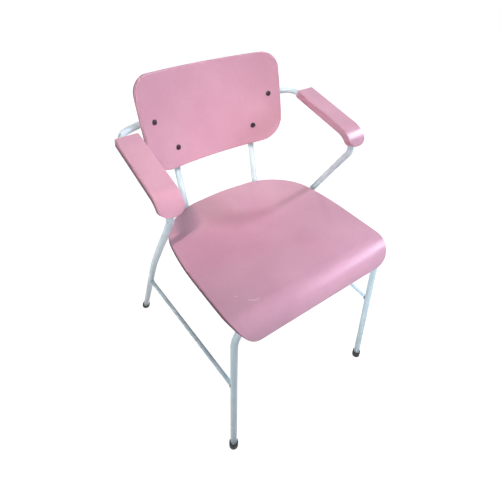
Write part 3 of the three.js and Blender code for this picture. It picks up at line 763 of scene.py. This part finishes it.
def roll(obj, start, end, steps, total, axis, across):
    """Bends the blank by small turns along lines, as a press does. across picks the coordinate of the
    lines, and axis is the axis of the turns."""
    edit(obj)
    mesh = bmesh.from_edit_mesh(obj.data)
    flat = [vertex.co[across] for vertex in mesh.verts]
    step = (end - start) / steps
    turn_step = total / steps
    pivot = Vector((0, 0, 0))
    pivot[across] = start
    heading = Vector((0, 0, 0))
    heading[across] = math.copysign(1, step)
    for index in range(steps):
        angle = turn_step / 2 if index == 0 else turn_step
        line = start + index * step
        pick(obj, "verts", lambda v: (flat[v.index] - line) * step > -ROUNDING_ERROR)
        turn(angle, axis, pivot)
        heading = Matrix.Rotation(angle, 3, axis) @ heading
        pivot = pivot + heading * abs(step)
    leave_edit()


def set_down(obj, angle, axis, offset):
    """Turns a finished sheet about the origin and moves it to its place."""
    edit(obj)
    pick_all()
    turn(angle, axis, (0, 0, 0))
    bpy.ops.transform.translate(value=offset)
    leave_edit()


def even_shading(obj):
    """Smooth roundings, with the flat faces shaded flat."""
    smooth(obj, 30)
    weighted = obj.modifiers.new("flat faces stay flat", "WEIGHTED_NORMAL")
    weighted.keep_sharp = True
    apply_modifiers(obj)


def spread(start, end, count):
    """The middles of so many equal parts between two places."""
    return [start + (end - start) * (index + 0.5) / count for index in range(count)]


def build_seat():
    run = math.hypot(SEAT_DROP, SEAT_RUN)
    length = run + SEAT_BEND_RADIUS * SEAT_BEND_ANGLE

    def half_width(row):
        rear = max(0, 1 - row / SEAT_WIDEST)
        front = max(0, (row - SEAT_WIDEST) / (length - SEAT_WIDEST))
        sides = SEAT_HALF - SEAT_REAR_NARROWING * rear ** 2 - SEAT_FRONT_NARROWING * front ** 2
        return (sides - corner_inset(row, SEAT_REAR_CORNER)
                - corner_inset(length - row, SEAT_FRONT_CORNER, SEAT_FRONT_CORNER_WIDTH))

    def bow(row):
        return SEAT_REAR_BOW * max(0, 1 - row / SEAT_WIDEST)

    steps, row_steps = 28, (22, 14, 22)
    lines = [run + (length - run) * index / steps for index in range(steps)]
    rows = outline_rows(length, SEAT_REAR_CORNER, SEAT_FRONT_CORNER, *row_steps)
    seat = plywood(rows, half_width, bow, SHEET, SHEET_ROUNDING, lines + spread(0, run, 7),
                   spread(-SEAT_HALF, SEAT_HALF, 8))
    paint_edge(seat, seat_paint, seat_edge_shade, all_round)
    roll(seat, run, length, steps, -SEAT_BEND_ANGLE, "X", 1)
    set_down(seat, math.pi, "Z", (0, 0, 0))
    set_down(seat, -SEAT_SLOPE, "X", at(0, SEAT_REAR_Y, SEAT_REAR_Z))
    even_shading(seat)
    fit_out(seat, "bent_plywood_seat", None, "pink_paint", "seat_panel")


def build_back():
    def half_width(row):
        share = row / BACK_HEIGHT
        sides = BACK_HALF + BACK_TOP_WIDENING * share + 4 * BACK_SIDE_BOW * share * (1 - share)
        return (sides - corner_inset(row, BACK_BOTTOM_CORNER)
                - corner_inset(BACK_HEIGHT - row, BACK_TOP_CORNER))

    def bow(row):
        return BACK_BOTTOM_BOW * (1 - row / BACK_HEIGHT) - BACK_TOP_BOW * row / BACK_HEIGHT

    steps, row_steps = 14, (18, 10, 18)
    lines = [sign * BACK_REACH * index / steps for sign in (-1, 1) for index in range(1, steps)] + [0.0]
    rows = outline_rows(BACK_HEIGHT, BACK_BOTTOM_CORNER, BACK_TOP_CORNER, *row_steps)
    back = plywood(rows, half_width, bow, SHEET, SHEET_ROUNDING, spread(0, BACK_HEIGHT, 6), lines)
    paint_edge(back, back_paint, rim_edge_shade, all_round)
    set_down(back, math.pi / 2, "X", (0, 0, 0))
    for sign in (-1, 1):
        roll(back, 0, sign * BACK_REACH, steps, -sign * BACK_REACH / BACK_RADIUS, "Z", 0)
    set_down(back, -BACK_LEAN, "X", at(0, BACK_Y, BACK_Z))
    even_shading(back)
    fit_out(back, "bent_plywood_back", None, "pink_paint", "backrest_panel")


def arm_frame(sign):
    """The arm's run under its pad: where the pad's rear end is on the tube's axis, and the way forward
    and up."""
    _, knee, arm_front, arm_rear, _ = side_corners(sign)
    start, centre, _, _, forward = bend_at(arm_rear, arm_front, knee, ARM_BEND_RADIUS)
    return start - forward * PAD_STRAIGHT, forward, straight(centre, start)


def build_pads():
    top_radius = ARM_BEND_RADIUS + TUBE / 2 + CLEARANCE + PAD_THICKNESS
    length = PAD_STRAIGHT + top_radius * PAD_TURN

    def half_width(row):
        return PAD_HALF - corner_inset(row, PAD_REAR_CORNER) - corner_inset(length - row, PAD_FRONT_CORNER)

    steps, row_steps = 20, (6, 12, 14)
    lines = [PAD_STRAIGHT + (length - PAD_STRAIGHT) * index / steps for index in range(steps)]
    rows = outline_rows(length, PAD_REAR_CORNER, PAD_FRONT_CORNER, *row_steps)
    model = plywood(rows, half_width, lambda row: 0, PAD_THICKNESS, PAD_ROUNDING,
                    lines + spread(0, PAD_STRAIGHT, 5), [-12 * MM, 0, 12 * MM])
    for label, sign in SIDES:
        pad = copy_of(model)
        for point in pad.data.attributes["blank"].data:
            x, y, z = point.vector
            point.vector = (x + (sign + 3) * PAD_GRAIN_SHIFT, y, z)
        # The outer side of each pad gets the dark edge colour, which is painted shade; the blank lies with
        # that side at -sign along X.
        paint_edge(pad, back_paint, rim_edge_shade, lambda face: face.normal.x * -sign > 0.6)
        roll(pad, PAD_STRAIGHT, length, steps, -PAD_TURN, "X", 1)
        set_down(pad, math.pi, "Z", (0, 0, 0))
        rear, forward, up = arm_frame(sign)
        place = rear + up * (top_radius - ARM_BEND_RADIUS) + Vector((-sign * PAD_INSET, 0, 0))
        set_down(pad, math.asin(-forward.z), "X", place)
        even_shading(pad)
        fit_out(pad, f"arm_pad_wood_{label}", None, "pink_paint", f"arm_pad_{label}")
    bpy.data.objects.remove(model)


# ---- Caps and fasteners ----
def dome(radius, height, start, rings=7):
    """Rings of a domed head that rises from a radius at start; it stops just short of its pole."""
    turns = [index * math.pi / 2 / rings for index in range(rings)] + [math.radians(88)]
    return [(radius * math.cos(angle), start + height * math.sin(angle)) for angle in turns]


# The cap's rounded rim, in millimetres: in from its outer side, and down from its top.
CAP_RIM_RINGS = [(0.0, 1.4), (0.3, 0.7), (0.9, 0.2), (1.6, 0.0)]
CAP_UNCUT = 20 * MM  # how far the cap reaches down before its sole is cut level
CAP_LIP = 3 * MM  # the depth of the opening round the leg


def build_caps():
    for label, sign in SIDES:
        rear_foot, knee, *_ = side_corners(sign)
        legs = (("front", hoop_foot(sign), hoop_corner(sign)), ("rear", rear_foot, knee))
        for row, foot, above in legs:
            direction = straight(foot, above)
            top = CAP_HEIGHT / direction.z
            rim = [(CAP_RADIUS - inwards * MM, top - down * MM) for inwards, down in CAP_RIM_RINGS]
            opening = [(TUBE / 2 + CLEARANCE, top), (TUBE / 2 + FIT, top - CAP_LIP)]
            cap = turned([(CAP_RADIUS, -CAP_UNCUT)] + rim + opening, 40)
            put(cap, foot, direction)
            edit(cap)
            pick_all()
            bpy.ops.mesh.bisect(plane_co=(0, 0, 0), plane_no=(0, 0, 1), use_fill=True, clear_inner=True)
            leave_edit()
            round_off(cap, "moulded sole edge", 0.9 * MM, 3)
            apply_modifiers(cap)
            smooth(cap, 35)
            fit_out(cap, f"rubber_cap_{row}_{label}", rubber, "black_rubber", f"foot_cap_{row}_{label}")


def back_point(across, up, depth):
    """A point of the bent back: across and up its front face, and a depth behind it."""
    angle = across / BACK_RADIUS
    radius = BACK_RADIUS + depth
    lean_up = Vector((0, math.sin(BACK_LEAN), math.cos(BACK_LEAN)))
    lean_rear = Vector((0, math.cos(BACK_LEAN), -math.sin(BACK_LEAN)))
    start = at(radius * math.sin(angle), BACK_Y, BACK_Z)
    return start + lean_up * up + lean_rear * (radius * math.cos(angle) - BACK_RADIUS)


def upside_down(profile):
    """The same turned piece, pointing down."""
    return [(radius, -height) for radius, height in profile]


def bolt_model(behind):
    """A domed bolt, its shank down through the sheet, the spacer, the tube and the nut."""
    head = [(BOLT_HEAD - 0.4 * MM, 0.25 * MM), (BOLT_HEAD, 0.6 * MM)]
    shank = [(BOLT_SHANK, -behind - NUT_HEIGHT), (BOLT_SHANK, 0.25 * MM)]
    return turned(shank + head + dome(BOLT_HEAD, BOLT_DOME, 0.8 * MM), 40)


def nut_model(behind):
    """An acorn nut: six chamfered sides and a dome with a small neck."""
    near = behind + FIT
    sides = [(NUT_RADIUS - 0.7 * MM, near + NUT_HEIGHT), (NUT_RADIUS, near + NUT_HEIGHT - 0.7 * MM),
             (NUT_RADIUS, near + 0.5 * MM), (NUT_RADIUS - 0.6 * MM, near)]
    neck = [(NUT_DOME_RADIUS + 0.2 * MM, near + NUT_HEIGHT - 0.5 * MM)]
    cover = neck + dome(NUT_DOME_RADIUS, NUT_DOME, near + NUT_HEIGHT + 0.1 * MM)
    nut = joined(turned(upside_down(sides), 6), turned(upside_down(reversed(cover)), 24))
    smooth(nut, 30)
    return nut


def spacer_model():
    """A rubber sleeve from the sheet's rear face to the middle of the tube, rounded at the sheet."""
    near = SHEET + FIT
    return turned(upside_down([(SPACER_RADIUS, SHEET + SPACER + TUBE / 2), (SPACER_RADIUS, near + 1.8 * MM),
                               (SPACER_RADIUS - 0.2 * MM, near + 0.6 * MM), (SPACER_RADIUS - 1 * MM, near)]))


def build_back_bolts():
    """Modelled once with the sheet's front face at height 0 and the front up, then copied four times."""
    behind = SHEET + SPACER + TUBE
    bolt, nut, spacer = bolt_model(behind), nut_model(behind), spacer_model()
    sag = (BACK_RADIUS + AXIS_DEPTH) * math.cos(BOLT_UPPER_HALF / BACK_RADIUS) - BACK_RADIUS
    upper = (RAIL_Z - BACK_Z + sag * math.sin(BACK_LEAN)) / math.cos(BACK_LEAN)
    for row, half, up in (("upper", BOLT_UPPER_HALF, upper), ("lower", BOLT_LOWER_HALF, BOLT_LOWER_UP)):
        for label, sign in SIDES:
            origin = back_point(sign * half, up, 0)
            outward = straight(back_point(sign * half, up, SHEET), origin)
            for model, name, material, slot, node in (
                    (bolt, "domed_bolt", dark_steel, "dark_steel", "back_bolt"),
                    (nut, "acorn_nut", dark_steel, "dark_steel", "back_nut"),
                    (spacer, "rubber_spacer", rubber, "black_rubber", "back_spacer")):
                piece = copy_of(model)
                put(piece, origin, outward)
                fit_out(piece, f"{name}_{row}_{label}", material, slot, f"{node}_{row}_{label}")
    for model in (bolt, nut, spacer):
        bpy.data.objects.remove(model)


def pan_screw(bite):
    """A pan-head screw through a tube: the tube's axis is at height 0, the head below, the tip above."""
    near = TUBE / 2 + FIT
    cover = list(reversed(dome(SCREW_HEAD, SCREW_DOME, near + 0.5 * MM, 5)))
    head = [(SCREW_HEAD, near + 0.3 * MM), (SCREW_HEAD - 0.2 * MM, near)]
    shank = [(SCREW_SHANK, near), (SCREW_SHANK, -TUBE / 2 - bite)]
    return turned(upside_down(cover + head + shank), 24)


def build_screws():
    seat_screw, arm_screw = pan_screw(SEAT_SCREW_BITE), pan_screw(ARM_SCREW_BITE)
    for label, sign in SIDES:
        for row, origin in (("front", at(sign * SEAT_SCREW_FRONT_HALF, HOOP_SETBACK, HOOP_Z)),
                            ("rear", at(sign * SEAT_SCREW_REAR_HALF, BAR_Y, BAR_Z))):
            screw = copy_of(seat_screw)
            put(screw, origin, UP)
            fit_out(screw, f"pan_screw_seat_{row}_{label}", zinc, "zinc_steel", f"seat_screw_{row}_{label}")
        rear, forward, up = arm_frame(sign)
        for number, share in enumerate(ARM_SCREW_SHARES, 1):
            screw = copy_of(arm_screw)
            put(screw, rear + forward * share * PAD_STRAIGHT, up)
            fit_out(screw, f"pan_screw_arm_{label}_{number}", zinc, "zinc_steel",
                    f"arm_screw_{label}_{number}")
    for model in (seat_screw, arm_screw):
        bpy.data.objects.remove(model)


# ---- Camera, floor and light ----
# The photograph's camera: degrees, millimetres from the line of the front feet, and shares of the width.
CAMERA_AZIMUTH, CAMERA_ELEVATION, CAMERA_TILT = -37.602, 33.976, 2.269
CAMERA_PLACE = (-460.4, -407.65, 1086.3)
CAMERA_SENSOR, CAMERA_LENS = 36, 30.26
CAMERA_SHIFT_X, CAMERA_SHIFT_Y = -0.03, -0.14


def stand(obj, place, *axes):
    """Puts the camera or a lamp at its place, turned to its three axes."""
    matrix = Matrix(axes).transposed().to_4x4()
    matrix.translation = place
    obj.matrix_world = matrix


def set_camera():
    """The photograph's own view: a phone held in front and to the left, looking down."""
    azimuth, elevation = math.radians(CAMERA_AZIMUTH), math.radians(CAMERA_ELEVATION)
    tilt = math.radians(CAMERA_TILT)
    rearward = Vector((math.sin(azimuth) * math.cos(elevation), -math.cos(azimuth) * math.cos(elevation),
                       math.sin(elevation)))
    right = (-rearward).cross(UP).normalized()
    above = right.cross(-rearward)
    x_axis = right * math.cos(tilt) + above * math.sin(tilt)
    y_axis = above * math.cos(tilt) - right * math.sin(tilt)
    bpy.ops.object.camera_add()
    camera = bpy.context.object
    camera.name = "camera"
    stand(camera, at(*(part * MM for part in CAMERA_PLACE)), x_axis, y_axis, rearward)
    camera.data.sensor_width = CAMERA_SENSOR
    camera.data.lens = CAMERA_LENS
    camera.data.shift_x = CAMERA_SHIFT_X
    camera.data.shift_y = CAMERA_SHIFT_Y
    camera.data.clip_start = 0.05
    bpy.context.scene.camera = camera


def seen_or_mirrored(tree):
    """1 for what the camera and mirrored rays see, 0 for light that falls on things."""
    path = tree.nodes.new("ShaderNodeLightPath")
    seen = path.outputs["Is Camera Ray"]
    for output in ("Is Glossy Ray", "Is Transmission Ray"):
        seen = add(tree, "Math", LARGER, _0=seen, _1=path.outputs[output])
    return seen


FLOOR_SIZE = 14
FLOOR_BELOW = 0.2 * MM  # under the caps' soles
PAPER_GREY = 0.50  # what the floor throws back at the chair
SHADED_GREY = 0.20  # the part of the seen floor that the chair's shadow darkens
GLOW = 0.97  # the part that no shadow darkens
FILL = 0.21


def set_stage():
    """A paper floor that lights the chair as grey paper does, and looks white to the camera and in
    reflections but for the chair's shadow. The world fills in softly and looks white too."""
    bpy.ops.mesh.primitive_plane_add(size=FLOOR_SIZE, location=(0, 0, -FLOOR_BELOW))
    floor = bpy.context.object
    floor.name = "studio_floor"
    apply_place()
    material, tree = new_material("pale_paper_floor")
    lit = add(tree, "BsdfDiffuse", Color=grey(PAPER_GREY))
    faint = add(tree, "BsdfDiffuse", Color=grey(SHADED_GREY))
    glow = add(tree, "Emission", Color=grey(1.0), Strength=GLOW)
    pale = add(tree, "AddShader", _0=glow, _1=faint)
    both = add(tree, "MixShader", _0=seen_or_mirrored(tree), _1=lit, _2=pale)
    add(tree, "OutputMaterial", Surface=both)
    floor.data.materials.append(material)

    world = bpy.data.worlds.new("studio")
    world.use_nodes = True
    tree = world.node_tree
    tree.nodes.clear()
    fill = add(tree, "Background", Color=srgb("#eef2fa"), Strength=FILL)
    white = add(tree, "Background", Color=grey(1.0), Strength=1.0)
    both = add(tree, "MixShader", _0=seen_or_mirrored(tree), _1=fill, _2=white)
    add(tree, "OutputWorld", Surface=both)
    bpy.context.scene.world = world


# A strip lamp under the ceiling, in front and to the left.
CEILING_STRIP = {"towards": (-0.39, -0.54, 0.74), "distance": 3.2, "sides": (0.38, 0.12),
                 "long_axis": (0.896, -0.098, 0.433)}
SEAT_MIDDLE = (0, 0, 0.45)
OPEN = 180  # the spread of a soft box without a grid


def soft_box(name, towards, distance, aim, sides, long_axis, spread_angle, watts, colour):
    """A soft box of two side lengths, in a direction from the seat and aimed at a point. Its long side
    lies along the long axis as nearly as the aim lets it, and its grid narrows its light to the spread
    angle. Lengths are in metres and angles in degrees."""
    bpy.ops.object.light_add(type="AREA")
    lamp = bpy.context.object
    lamp.name = name
    lamp.data.shape = "RECTANGLE"
    lamp.data.size, lamp.data.size_y = sides
    lamp.data.spread = math.radians(spread_angle)
    lamp.data.energy = watts
    lamp.data.color = srgb(colour)[:3]
    place = Vector(SEAT_MIDDLE) + Vector(towards).normalized() * distance
    backward = straight(Vector(aim), place)
    upward = backward.cross(Vector(long_axis)).normalized()
    stand(lamp, place, upward.cross(backward), upward, backward)


def set_lights():
    """The ceiling strip shines past the photographer, so it comes in three parts: on the seat, on the
    front right leg and faintly on the seat's left. A small lamp on the right draws the arm's shadow
    across the seat, a long one the streak on the front bend, and a large one low on the left lights
    the tubes."""
    soft_box("key_soft_box", aim=(0.108, 0.184, 0.47), spread_angle=17, watts=0.81, colour="#fff8f4",
             **CEILING_STRIP)
    soft_box("side_soft_box", (0.785, -0.272, 0.556), 3.0, SEAT_MIDDLE, (0.22, 0.22), (0, 1, 0), OPEN,
             38, "#eef0ff")
    soft_box("front_soft_box", (0.695, -0.469, 0.545), 3.0, SEAT_MIDDLE, (2.0, 0.20), (0.56, 0.83, 0), OPEN,
             27, "#cfdeff")
    soft_box("leg_soft_box", aim=(0.22, -0.24, 0.15), spread_angle=10, watts=0.39, colour="#eaf4ff",
             **CEILING_STRIP)
    soft_box("left_soft_box", aim=(-0.173, 0.103, 0.47), spread_angle=10, watts=0.066, colour="#fff8f4",
             **CEILING_STRIP)
    soft_box("low_soft_box", (-0.93, -0.30, 0.20), 3.0, SEAT_MIDDLE, (1.0, 1.0), (0, 1, 0), OPEN,
             24, "#f4faff")
    bpy.context.scene.view_settings.view_transform = "Standard"


set_camera()
build_hoop()
build_side_tubes()
build_bars()
build_spines()
build_stretchers()
build_seat()
build_back()
build_pads()
build_caps()
build_back_bolts()
build_screws()
set_stage()
set_lights()
